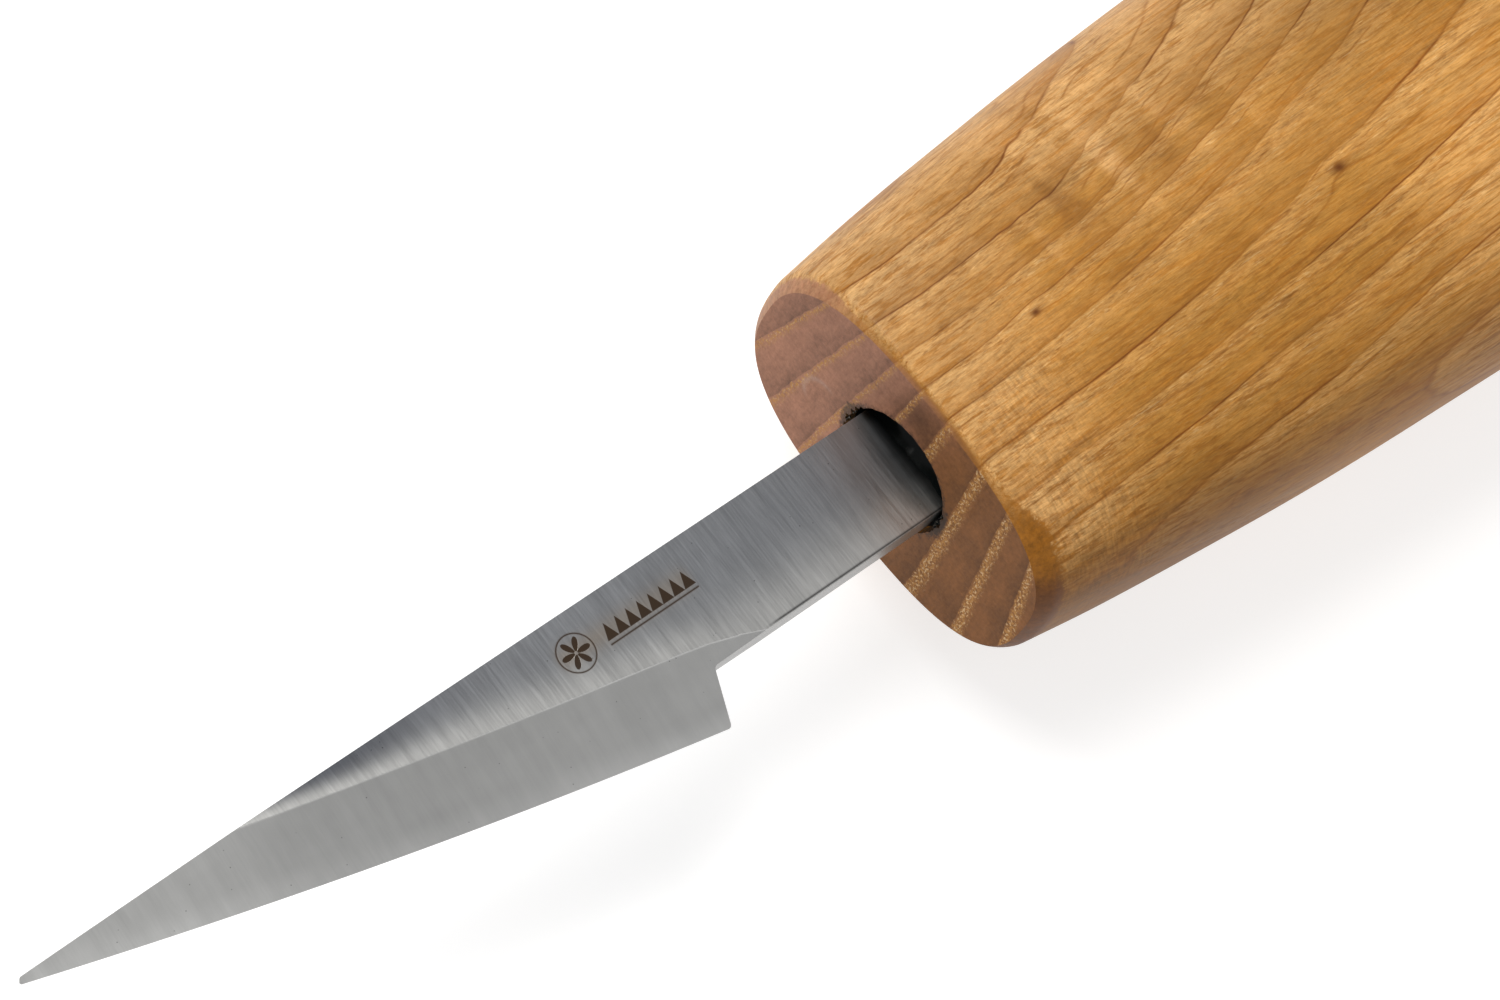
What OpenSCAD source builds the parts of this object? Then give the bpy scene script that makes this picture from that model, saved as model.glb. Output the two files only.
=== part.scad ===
// Chip carving knife: a short stiff blade bonded into the drilled end of a one-piece wooden handle.
// The knife lies on its side: +X points to the tip, +Y to the cutting edge, and +Z is up.
// The origin is the centre of the handle's front face, in the middle of the blade's thickness.

/* [Blade] */
// Thickness of the steel sheet
stock_t = 2; // [1.6:0.1:2.4]
// Width of the neck, from the spine to its underside
neck_w = 6.2; // [5:0.1:6.4]
// Length of blade in front of the handle
blade_len = 51.1; // [44:0.1:60]
// Distance from the handle to the foot of the heel
heel_foot_x = 14.75; // [12:0.25:18]
// How far the heel's corner stands forward of its foot
heel_lean = 0.92; // [0:0.02:2]
// How far the heel's corner stands below the neck
heel_drop = 2.8; // [1.5:0.1:4]
// How far the cutting edge bows out from a straight line
edge_bow = 0.44; // [0:0.02:1.2]
// Thickness left at the cutting edge
edge_land = 0.04; // [0.02:0.01:0.1]

/* [Bevel] */
// Distance from the handle to the place where the bevel's upper line runs out on the spine
bevel_end_x = 39; // [30:0.1:42]
// Height of the bevel's upper line at the heel, from the blade's centre line
bevel_heel_y = 1.95; // [0.5:0.05:2.5]
// How far the bevel's upper line bows out from a straight line
bevel_bow = 0.12; // [0:0.01:1.5]
// Length over which the bevel fades out behind the heel
bevel_fade = 4.6; // [2:0.1:5]

/* [Tang] */
// Length of the tang inside the handle
tang_len = 44; // [30:1:47]
// Width of the tang at its far end
tang_end_w = 4.4; // [3:0.1:5]
// Diameter of the two glue holes in the tang
glue_hole_d = 2.4; // [1:0.1:2.8]

/* [Handle] */
// Length of the handle
handle_len = 118; // [100:1:130]
// Half-width of the flat front face
face_half_w = 10.2; // [9:0.1:10.5]
// Half-thickness of the flat front face
face_half_t = 6.65; // [5.5:0.05:7]
// Depth of the rounding round the front face
rim_depth = 0.9; // [0.4:0.1:1.5]
// Length of the rounded butt
butt_len = 11; // [6:0.5:14]
// Half-thickness that the belly is sanded straight to
belly_half_t = 10.35; // [10:0.05:10.5]
// Squareness of the section at the front, where 2 is an ellipse
front_square = 2.66; // [2:0.02:3]
// Squareness of the section at the butt
butt_square = 2.3; // [2:0.02:3]

/* [Bore] */
// Diameter of the drilled bore
bore_d = 7; // [7:0.1:8]
// Depth of the bore's full diameter
bore_depth = 48; // [48:1:60]
// How far the glue stops short of the front face
glue_recess = 1.4; // [0.5:0.1:4]

/* [Hidden] */
$fn = 64;

half_t = stock_t / 2;
spine_y = -neck_w / 2;
under_y = neck_w / 2;
heel = [heel_foot_x + heel_lean, under_y + heel_drop];
tip_blunt = 0.28;
tip = [blade_len, spine_y + tip_blunt];
tip_slope = 0.2;
tip_round = 0.1;
heel_round = 0.2;
foot_round = 0.25;
tang_round = 0.6;
tang_taper_x = -12;
glue_holes_x = [-0.45 * tang_len, -0.75 * tang_len];
edge_steps = 20;

// The bevel starts to fade just in front of the heel's foot and runs out under the neck.
fade_start_x = heel_foot_x + 1.25;
fade_end_x = fade_start_x - bevel_fade;
bevel_stations = 24;
cut_margin = 0.5;
cut_past_end = 2;
cut_height = 2;

// Half-widths on the spine side and the edge side, and half-thickness, at distances behind the
// front face. The first row is the back of the front rounding; the belly is the fifth.
body_rows = [
    [rim_depth, 10.95, 10.7, 7.25],
    [8, 11.95, 11.65, 8.15],
    [20, 13.1, 12.8, 9.25],
    [32, 13.85, 13.5, 10],
    [48, 14.25, 14, 10.5],
    [70, 13.9, 13.75, 10.35],
    [92, 13, 12.9, 9.75],
    [handle_len, 11.9, 11.8, 8.9]
];
ring_count = 26;
ring_points = 40;
ring_crowding = 1.15;
butt_rings = 7;
butt_round = 2.4;
butt_reach = 0.995;
drill_point_angle = 118;

// A point on the bowed line from a to b, at fraction t of its length along X.
function bow_y(a, b, bow, t) = a[1] + (b[1] - a[1]) * t + 4 * bow * t * (1 - t);

// Distance of the cutting edge from the centre line at x.
function edge_y(x) = bow_y(heel, tip, edge_bow, (x - heel[0]) / (tip[0] - heel[0]));

// Distance of the bevel's upper line from the centre line at x, before and after the fade.
function bevel_line_y(x) =
    bow_y(
        [heel_foot_x, bevel_heel_y], [bevel_end_x, spine_y], bevel_bow,
        (x - heel_foot_x) / (bevel_end_x - heel_foot_x)
    );
function bevel_y(x) =
    let (
        back = max(0, fade_start_x - x) / bevel_fade,
        run_out = under_y - bevel_line_y(fade_end_x)
    )
    bevel_line_y(x) + run_out * back * back;

// The points of corner b, between a and c, rounded to radius r.
function round_corner(a, b, c, r, steps = 6) =
    let (
        u = (a - b) / norm(a - b),
        v = (c - b) / norm(c - b),
        half = acos(u * v) / 2,
        centre = b + (u + v) / norm(u + v) * r / sin(half),
        from = b + u * r / tan(half) - centre,
        to = b + v * r / tan(half) - centre,
        sweep = 180 - 2 * half,
        turn = sign(from[0] * to[1] - from[1] * to[0])
    )
    [for (i = [0:steps])
        let (w = turn * sweep * i / steps)
        centre + [from[0] * cos(w) - from[1] * sin(w), from[0] * sin(w) + from[1] * cos(w)]];

// Corners of the outline, each with its rounding; the cutting edge is sampled between two of them.
edge_run = [for (i = [1:edge_steps - 1])
    let (x = tip[0] + (heel[0] - tip[0]) * i / edge_steps)
    [[x, edge_y(x)], 0]];
corners = concat(
    [
        [[-tang_len, -tang_end_w / 2], tang_round],
        [[tang_taper_x, spine_y], 0],
        [[blade_len - tip_slope, spine_y], tip_round],
        [tip, tip_round]
    ],
    edge_run,
    [
        [heel, heel_round],
        [[heel_foot_x, under_y], foot_round],
        [[tang_taper_x, under_y], 0],
        [[-tang_len, tang_end_w / 2], tang_round]
    ]
);
outline = [for (i = [0:len(corners) - 1])
    let (
        n = len(corners),
        a = corners[(i + n - 1) % n][0],
        b = corners[i][0],
        c = corners[(i + 1) % n][0],
        r = corners[i][1]
    )
    each (r == 0 ? [b] : round_corner(a, b, c, r))];

// Value k of the body rows at distance s, on a smooth curve through the rows.
function row_slope(k, i) =
    let (a = body_rows[max(i - 1, 0)], b = body_rows[min(i + 1, len(body_rows) - 1)])
    (b[k] - a[k]) / (b[0] - a[0]);
function row_at(s, i = 0) =
    i >= len(body_rows) - 2 || s <= body_rows[i + 1][0] ? i : row_at(s, i + 1);
function body_value(k, s) =
    let (
        i = row_at(s),
        a = body_rows[i],
        b = body_rows[i + 1],
        gap = b[0] - a[0],
        t = (s - a[0]) / gap
    )
    a[k] * (1 + 2 * t) * (1 - t) * (1 - t) + b[k] * t * t * (3 - 2 * t)
    + gap * t * (1 - t) * ((1 - t) * row_slope(k, i) - t * row_slope(k, i + 1));

// Half-thickness at distance s, with the belly sanded straight so that the knife lies still.
function body_thickness(s) = min(body_value(3, s), belly_half_t);

// Closed ring of the handle's section at distance s behind the front face.
function signed_power(v, p) = sign(v) * pow(abs(v), p);
function section_ring(s, spine_w, edge_w, thick, square) =
    [for (i = [0:ring_points - 1])
        let (
            a = 360 * (i + 0.5) / ring_points,
            y = signed_power(cos(a), 2 / square),
            z = signed_power(sin(a), 2 / square)
        )
        [-s, y * (y > 0 ? edge_w : spine_w), z * thick]];

// A closed skin over rings of equal length, capped flat at both ends.
module loft(rings) {
    n = len(rings[0]);
    m = len(rings);
    sides = [for (j = [0:m - 2], i = [0:n - 1])
        let (a = j * n + i, b = j * n + (i + 1) % n)
        each [[a, b, b + n], [a, b + n, a + n]]];
    caps = [[for (i = [n - 1:-1:0]) i], [for (i = [0:n - 1]) (m - 1) * n + i]];
    polyhedron(points = [for (r = rings) each r], faces = concat(sides, caps), convexity = 4);
}

// The sheet before grinding, with the glue holes drilled through its tang.
module blank() {
    translate([0, 0, -half_t])
        difference() {
            linear_extrude(stock_t) polygon(outline);
            for (x = glue_holes_x)
                translate([x, 0, -half_t]) cylinder(d = glue_hole_d, h = 2 * stock_t);
        }
}

// The steel that the grinder takes off one side, above a bevel from the flat to the edge.
module ground_off() {
    start_x = fade_end_x - cut_past_end;
    end_x = blade_len + cut_margin;
    top_z = half_t + cut_height;
    rings = [for (j = [0:bevel_stations])
        let (
            x = start_x + (end_x - start_x) * j / bevel_stations,
            upper_y = bevel_y(x),
            lower_y = edge_y(x),
            rise = cut_margin * (half_t - edge_land / 2) / (lower_y - upper_y)
        )
        [
            [x, upper_y - cut_margin, top_z],
            [x, lower_y + cut_margin, top_z],
            [x, lower_y + cut_margin, edge_land / 2 - rise],
            [x, upper_y - cut_margin, half_t + rise]
        ]];
    loft(rings);
}

module blade() {
    color([0.56, 0.57, 0.58])
        difference() {
            blank();
            ground_off();
            mirror([0, 0, 1]) ground_off();
        }
}

// The drilled space from mouth_x back to the bore's conical end.
module bore(mouth_x) {
    rotate([0, -90, 0])
        translate([0, 0, -mouth_x]) {
            cylinder(d = bore_d, h = bore_depth + mouth_x);
            translate([0, 0, bore_depth + mouth_x])
                cylinder(d1 = bore_d, d2 = 0, h = bore_d / 2 / tan(drill_point_angle / 2));
        }
}

module handle() {
    butt_start = handle_len - butt_len;
    face = section_ring(0, face_half_w, face_half_w, face_half_t, front_square);
    body = [for (j = [0:ring_count - 1])
        let (s = rim_depth + (butt_start - rim_depth) * pow(j / (ring_count - 1), ring_crowding))
        section_ring(
            s, body_value(1, s), body_value(2, s), body_thickness(s),
            front_square + (butt_square - front_square) * s / handle_len
        )];
    butt = [for (j = [1:butt_rings])
        let (
            u = sin(90 * j / butt_rings),
            s = butt_start + butt_len * u,
            k = pow(1 - pow(u * butt_reach, butt_round), 1 / butt_round)
        )
        section_ring(
            s, k * body_value(1, s), k * body_value(2, s), k * body_thickness(s), butt_square
        )];
    color([0.78, 0.56, 0.29])
        difference() {
            loft(concat([face], body, butt));
            bore(1);
        }
}

module epoxy() {
    color([0.07, 0.08, 0.08])
        difference() {
            bore(-glue_recess);
            blank();
        }
}

blade();
handle();
epoxy();
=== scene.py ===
"""Chip carving knife: a ground steel blade, an oiled hardwood handle and the glue between them."""

import math

import bmesh
import bpy
from mathutils import Matrix, Vector, noise


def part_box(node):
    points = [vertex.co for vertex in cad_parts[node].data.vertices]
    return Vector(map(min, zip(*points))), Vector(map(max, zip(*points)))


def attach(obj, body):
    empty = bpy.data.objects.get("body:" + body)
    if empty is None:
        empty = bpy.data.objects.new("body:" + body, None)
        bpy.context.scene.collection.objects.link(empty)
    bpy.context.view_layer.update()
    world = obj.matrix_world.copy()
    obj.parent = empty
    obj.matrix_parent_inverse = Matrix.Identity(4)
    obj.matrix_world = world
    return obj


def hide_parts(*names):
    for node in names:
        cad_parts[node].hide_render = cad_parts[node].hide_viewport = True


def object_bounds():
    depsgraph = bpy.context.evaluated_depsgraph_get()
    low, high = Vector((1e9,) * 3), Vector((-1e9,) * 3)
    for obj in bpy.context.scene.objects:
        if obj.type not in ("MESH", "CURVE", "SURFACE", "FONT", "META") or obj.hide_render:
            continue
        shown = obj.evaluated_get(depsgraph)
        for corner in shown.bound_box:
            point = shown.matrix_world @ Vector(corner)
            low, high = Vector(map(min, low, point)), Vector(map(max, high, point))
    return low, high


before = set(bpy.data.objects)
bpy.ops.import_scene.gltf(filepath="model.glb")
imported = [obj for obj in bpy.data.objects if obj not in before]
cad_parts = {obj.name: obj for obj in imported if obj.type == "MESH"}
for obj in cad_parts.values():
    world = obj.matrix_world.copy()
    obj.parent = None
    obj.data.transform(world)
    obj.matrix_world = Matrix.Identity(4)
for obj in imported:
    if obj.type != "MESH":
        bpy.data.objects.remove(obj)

bl_info = {
    "name": "Chip Carving Knife",
    "version": (1, 0, 0),
    "blender": (4, 5, 0),
    "location": "3D View > Sidebar > Knife",
    "description": "Builds the blade, handle and glue of a chip carving knife, and its stage",
    "category": "Add Mesh",
}

MM = 0.001
CAD_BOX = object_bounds()
BLADE_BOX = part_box("blade")
HANDLE_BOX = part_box("handle")
GLUE_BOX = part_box("epoxy")

# Measures of the knife that its boxes don't give. Those in shaders are in millimetres.
NECK_HALF = 3.1
TANG_TAPER = 12 * MM
TANG_END_HALF = 2.2 * MM
BORE_DEPTH = 48 * MM
DRILL_HALF_ANGLE = math.radians(59)


# ---------------------------------------------------------------- node building


class Value:
    """A node socket that takes part in Python arithmetic; each operation adds one Math node."""

    def __init__(self, graph, socket):
        self.graph = graph
        self.socket = socket

    def __add__(self, other):
        return self.graph.math("ADD", self, other)

    __radd__ = __add__

    def __mul__(self, other):
        return self.graph.math("MULTIPLY", self, other)

    __rmul__ = __mul__

    def __sub__(self, other):
        return self.graph.math("SUBTRACT", self, other)

    def __rsub__(self, other):
        return self.graph.math("SUBTRACT", other, self)

    def __truediv__(self, other):
        return self.graph.math("DIVIDE", self, other)

    def __rtruediv__(self, other):
        return self.graph.math("DIVIDE", other, self)

    def __pow__(self, other):
        return self.graph.math("POWER", self, other)

    def __neg__(self):
        return self.graph.math("MULTIPLY", self, -1.0)

    def __abs__(self):
        return self.graph.math("ABSOLUTE", self)


class Graph:
    """A node tree that grows by one node for each call of node()."""

    def __init__(self, tree):
        self.tree = tree

    def node(self, kind, settings=None, inputs=None, output=0):
        """Adds a node, applies its settings, sets or links its inputs and returns one output."""
        made = self.tree.nodes.new(kind)
        for name, value in (settings or {}).items():
            if name == "curve":
                self.set_curve(made.mapping, value)
            else:
                setattr(made, name, value)
        for key, value in (inputs or {}).items():
            if isinstance(value, Value):
                self.tree.links.new(value.socket, made.inputs[key])
            else:
                made.inputs[key].default_value = value
        return Value(self, made.outputs[output])

    @staticmethod
    def set_curve(mapping, points):
        """Puts a curve through the points."""
        curve = mapping.curves[0]
        while len(curve.points) < len(points):
            curve.points.new(0.5, 0.5)
        for place, (x, y) in zip(curve.points, points):
            place.location = (x, y)
        mapping.update()

    def math(self, operation, *values):
        """One step of arithmetic on numbers."""
        return self.node("ShaderNodeMath", {"operation": operation}, dict(enumerate(values)))

    def vector(self, operation, *values, output=0):
        """One step of arithmetic on vectors."""
        settings = {"operation": operation}
        return self.node("ShaderNodeVectorMath", settings, dict(enumerate(values)), output)

    def combine(self, x, y, z):
        """A vector of three numbers."""
        return self.node("ShaderNodeCombineXYZ", inputs={0: x, 1: y, 2: z})

    def split(self, vector):
        """The three numbers of a vector."""
        first = self.node("ShaderNodeSeparateXYZ", inputs={0: vector})
        return [Value(self, socket) for socket in first.socket.node.outputs]

    def ramp(self, value, low, high, start=0.0, end=1.0):
        """Eases from start to end as value goes from low to high."""
        return self.node(
            "ShaderNodeMapRange",
            {"interpolation_type": "SMOOTHSTEP"},
            {"Value": value, "From Min": low, "From Max": high, "To Min": start, "To Max": end},
        )

    def bell(self, value, centre, width):
        """1 where value is at centre, falling smoothly to 0 on both sides."""
        away = (value - centre) / width
        return self.math("EXPONENT", away * away * -1.0)

    def clouds(self, place, stretch, detail=2.0, roughness=0.5):
        """Soft noise with the given number of lumps per unit along each axis, 0.5 on average."""
        scaled = self.vector("MULTIPLY", place, stretch)
        return self.node(
            "ShaderNodeTexNoise",
            inputs={"Vector": scaled, "Scale": 1.0, "Detail": detail, "Roughness": roughness},
        )

    def cells(self, place, stretch):
        """Distance to the nearest of many scattered points."""
        scaled = self.vector("MULTIPLY", place, stretch)
        return self.node("ShaderNodeTexVoronoi", inputs={"Vector": scaled, "Scale": 1.0})

    def mix(self, amount, first, second):
        """Colour first, taken towards colour second by amount."""
        settings = {"data_type": "RGBA", "clamp_factor": True}
        return self.node("ShaderNodeMix", settings, {0: amount, 6: first, 7: second}, 2)

    def scale(self, vector, amount):
        """A vector made longer or shorter, or a colour lighter or darker."""
        settings = {"operation": "SCALE"}
        return self.node("ShaderNodeVectorMath", settings, {0: vector, "Scale": amount})


class FormTree(Graph):
    """A geometry node tree with named inputs, for a piece whose shape follows a rule."""

    def __init__(self, name, inputs):
        tree = bpy.data.node_groups.new(name, "GeometryNodeTree")
        tree.is_modifier = True
        super().__init__(tree)
        tree.interface.new_socket("Geometry", in_out="INPUT", socket_type="NodeSocketGeometry")
        self.sockets = {}
        for label, (kind, value) in inputs.items():
            socket = tree.interface.new_socket(
                label, in_out="INPUT", socket_type="NodeSocket" + kind
            )
            socket.default_value = value
            self.sockets[label] = socket.identifier
        tree.interface.new_socket("Geometry", in_out="OUTPUT", socket_type="NodeSocketGeometry")
        self.entry = tree.nodes.new("NodeGroupInput")

    def given(self, label):
        """The value of a named input."""
        return Value(self, self.entry.outputs[label])

    def finish(self, real, material):
        """Ends the tree with realized geometry that carries the material."""
        painted = self.node(
            "GeometryNodeSetMaterial", inputs={"Geometry": real, "Material": material}
        )
        leave = self.tree.nodes.new("NodeGroupOutput")
        self.tree.links.new(painted.socket, leave.inputs[0])

    def run(self, name, values):
        """A plain mesh object made by this tree with the given input values."""
        holder = add_object(name, bpy.data.meshes.new(name))
        modifier = holder.modifiers.new("Form", "NODES")
        modifier.node_group = self.tree
        for label, value in values.items():
            modifier[self.sockets[label]] = value
        graph = bpy.context.evaluated_depsgraph_get()
        mesh = bpy.data.meshes.new_from_object(holder.evaluated_get(graph))
        holder.modifiers.remove(modifier)
        holder.data = mesh
        mesh.name = name
        return holder


def add_object(name, data):
    """A new object in the current collection."""
    made = bpy.data.objects.new(name, data)
    bpy.context.collection.objects.link(made)
    return made


def colour(rgb):
    """A colour setting as a node socket takes it."""
    return (rgb[0], rgb[1], rgb[2], 1.0)


def new_material(name):
    """A material with only a Principled shader and its output; returns both, and its graph."""
    material = bpy.data.materials.new(name)
    material.use_nodes = True
    tree = material.node_tree
    tree.nodes.clear()
    graph = Graph(tree)
    shader = tree.nodes.new("ShaderNodeBsdfPrincipled")
    output = tree.nodes.new("ShaderNodeOutputMaterial")
    tree.links.new(shader.outputs["BSDF"], output.inputs["Surface"])
    return material, graph, shader


def feed(graph, shader, **values):
    """Links or sets the shader's sockets; an underscore stands for a space in a name."""
    for name, value in values.items():
        socket = shader.inputs[name.replace("_", " ")]
        if isinstance(value, Value):
            graph.tree.links.new(value.socket, socket)
        else:
            socket.default_value = value


def millimetres(graph):
    """The place on the piece in millimetres, as a vector and as three numbers."""
    place = graph.scale(graph.node("ShaderNodeTexCoord", output="Object"), 1 / MM)
    return place, *graph.split(place)


def relief(graph, height, depth):
    """A bump that stands depth millimetres high where height is 1."""
    inputs = {"Height": height, "Strength": 1.0, "Distance": depth * MM}
    return graph.node("ShaderNodeBump", inputs=inputs)


# ---------------------------------------------------------------- settings


def length_setting(label, description, value):
    """A property that holds a length."""
    return bpy.props.FloatProperty(
        name=label, description=description, default=value, unit="LENGTH"
    )


def colour_setting(label, description, rgb):
    """A property that holds a colour."""
    return bpy.props.FloatVectorProperty(
        name=label, description=description, subtype="COLOR", default=rgb
    )


class WoodSettings(bpy.types.PropertyGroup):
    """The handle's shape and timber."""

    rings: bpy.props.IntProperty(
        name="Rings", description="Cross-sections along the handle", default=280, min=40
    )
    sides: bpy.props.IntProperty(
        name="Sides", description="Points round each cross-section", default=264, min=48
    )
    rim_depth: length_setting(
        "Rim Depth", "Depth of the broken edge round the front face", 0.9 * MM
    )
    face_width: length_setting("Face Width", "Width of the flat front face", 20.4 * MM)
    face_thickness: length_setting("Face Thickness", "Thickness of the flat front face", 13.3 * MM)
    front_squareness: bpy.props.FloatProperty(
        name="Front Squareness", description="2 is an ellipse, more is squarer", default=2.66
    )
    butt_squareness: bpy.props.FloatProperty(
        name="Butt Squareness", description="2 is an ellipse, more is squarer", default=2.3
    )
    butt_length: length_setting("Butt Length", "Length of the rounded butt", 11 * MM)
    hand_sanding: length_setting(
        "Hand Sanding", "Height of the faint unevenness that sanding leaves", 0.09 * MM
    )
    honey: colour_setting("Honey", "Main colour of the side grain", (0.41, 0.192, 0.036))
    amber: colour_setting("Amber", "Dense late wood of each ring", (0.285, 0.112, 0.016))
    cream: colour_setting("Cream", "Pale early wood of each ring", (0.585, 0.335, 0.13))
    pore: colour_setting("Pore", "Pores and the thin line between two years", (0.16, 0.053, 0.008))
    fibre: colour_setting("Fibre", "Oily streaks along the grain", (0.33, 0.122, 0.010))
    # Mauve and Umber give the end grain its dark brown, with painted sheen making the spine side
    # paler and mauve.
    mauve: colour_setting("Mauve", "End grain towards the spine", (0.31, 0.145, 0.088))
    umber: colour_setting("Umber", "End grain towards the cutting edge", (0.195, 0.077, 0.023))
    pore_band: colour_setting(
        "Pore Band", "Speckled bands across the end grain", (0.44, 0.21, 0.056)
    )
    rim: colour_setting("Rim", "Oiled edge of the front face on top", (0.27, 0.10, 0.010))
    # The oiled rim below, darker with painted shade.
    rim_in_shade: colour_setting(
        "Dark Rim", "Oiled edge of the front face below", (0.13, 0.043, 0.008)
    )
    ring_width: length_setting("Ring Width", "Mean distance between two years' rings", 2.2 * MM)


class SteelSettings(bpy.types.PropertyGroup):
    """The blade's edges and finish."""

    arris: length_setting("Arris", "Width of the broken edges along the spine and neck", 0.07 * MM)
    # Painted reflection: the bright band on the flats just above the bevel; the bevels also
    # brighten to it towards the tip.
    bright: colour_setting("Bright Steel", "Steel ground thin towards the tip", (0.54, 0.54, 0.53))
    ground: colour_setting("Ground Steel", "Steel of the bevels", (0.38, 0.38, 0.375))
    # Painted reflection: the darker bluish steel along the spine.
    dark_spine_reflection: colour_setting("Blued Steel", "Darker steel along the spine", (0.27, 0.279, 0.296))
    etch: colour_setting("Etch", "Laser-darkened ornament", (0.035, 0.02, 0.01))


class GlueSettings(bpy.types.PropertyGroup):
    """The glue in the bore."""

    crumbs: bpy.props.IntProperty(
        name="Crumbs", description="Loose crumbs of glue at each corner of the neck", default=26
    )
    tint: colour_setting("Tint", "Colour of the cured glue", (0.006, 0.008, 0.008))


class StageSettings(bpy.types.PropertyGroup):
    """Floor, light and camera."""

    floor_size: length_setting("Floor Size", "Side of the square floor", 4.0)
    sky: bpy.props.FloatProperty(
        name="Sky", description="Brightness of the light from all round", default=0.40
    )
    key: bpy.props.FloatProperty(
        name="Key", description="Power of the large soft light, in watts", default=6.3
    )
    fill: bpy.props.FloatProperty(
        name="Fill", description="Power of the weak light on the cutting edge's side, in watts",
        default=0.35,
    )


# ---------------------------------------------------------------- wood


# Small knots: place in millimetres, radius of the dark heart, and how far the rings swerve.
KNOTS = [
    ((-25.6, 1.4, 9.6), 0.3, 0.6),
    ((-7.2, -1.3, 8.0), 0.2, 0.3),
    ((-13.0, 11.3, 3.7), 0.3, 0.9),
    ((-74.0, -7.0, -9.4), 0.5, 0.8),
]

# The attribute that tells end grain from side grain.
END_FACING = "end_facing"

# Tones of the wood's small features.
THREAD_TONE = (0.24, 0.08, 0.007, 1.0)
RUST_TONE = (0.22, 0.07, 0.006, 1.0)
# Painted highlight where open pores catch the light.
PORE_GLINT_TONE = (0.70, 0.47, 0.21, 1.0)
SEAM_TONE = (0.17, 0.05, 0.006, 1.0)
KNOT_TONE = (0.12, 0.033, 0.004, 1.0)
CHAFF_TONE = (0.62, 0.42, 0.22, 1.0)
SMEAR_TONE = (0.42, 0.32, 0.27, 1.0)
SPINE_RIM_SHEEN_TONE = (0.30, 0.14, 0.085, 1.0)
GLUE_STAIN_AND_SHADE_TONE = (0.03, 0.024, 0.02, 1.0)


class Timber:
    """What the side and end grain share: the place in the log, its rings, knots and fibres."""

    def __init__(self, g, ring_width):
        place, x, y, z = millimetres(g)
        back = -x

        # How far the rings swing towards the spine side behind the front, and fan out on the face.
        swing, swing_length = 9.0, 38.0
        fan_centre, face_top = 0.4, 6.65
        drift = swing * (1.0 - g.math("EXPONENT", back * back * (-1 / swing_length**2)))
        share = 1.8 / (1.0 + 0.8 * g.math("EXPONENT", (y + 1.7) / 5.0))
        fan = (y - fan_centre) / (1.0 + 0.028 * (face_top - z)) + fan_centre
        loose = g.ramp(back, 0.0, 14.0, 0.1, 1.0)
        slow = (g.clouds(place, (0.02, 0.06, 0.06), 1.0) - 0.5) * 3.2
        wave = (g.clouds(place, (0.09, 0.15, 0.15), 1.0) - 0.5) * 0.8
        fine = (g.clouds(place, (0.32, 1.1, 1.1), 3.0) - 0.5) * 0.22
        depth = fan + drift * share + (slow + wave) * loose + fine

        # Curly figure, strongest on the upper shoulder.
        shoulder = g.bell(x, -15.0, 8.0) * g.bell(y, -7.0, 4.0) * g.ramp(z, 0.0, 4.0)
        curl = g.clouds(place, (0.36, 0.07, 0.07), 1.0) - 0.5
        depth = depth + curl * shoulder * 1.2

        # Knots push the rings aside.
        knots = 0.0
        for centre, radius, swerve in KNOTS:
            offset = g.vector("SUBTRACT", place, centre)
            offset = g.vector("MULTIPLY", offset, (0.6, 1.0, 1.0))
            away = g.vector("LENGTH", offset, output="Value")
            depth = depth + swerve * g.bell(away, 0.0, radius * 4.0)
            knots = g.bell(away, 0.0, radius) + knots

        # Place within the year, from 0 at the start of the early wood.
        first_ring = -7.6
        years = (depth - first_ring) * (MM / ring_width) + 0.3 * g.bell(depth, 0.2, 2.6)
        year = g.math("FRACT", years)
        early = g.ramp(year, 0.0, 0.03) * g.ramp(year, 0.2, 0.5, 1.0, 0.0)

        self.place, self.x, self.y, self.z = place, x, y, z
        self.curl, self.shoulder, self.knots = curl, shoulder, knots
        self.years, self.year, self.early, self.late = years, year, early, year * year * year

        # Fibres and pores run along the handle; dots show where they are cut across.
        self.grain = g.clouds(place, (0.10, 1.9, 1.9), 4.0, 0.6) - 0.5
        self.hair = g.clouds(place, (0.9, 12.0, 12.0), 3.0, 0.7) - 0.5
        self.dash = g.ramp(g.clouds(place, (0.9, 6.0, 6.0), 2.0, 0.6), 0.54, 0.66)
        self.dots = g.clouds(place, (3.2, 3.2, 3.2), 4.0, 0.75) - 0.5


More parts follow.
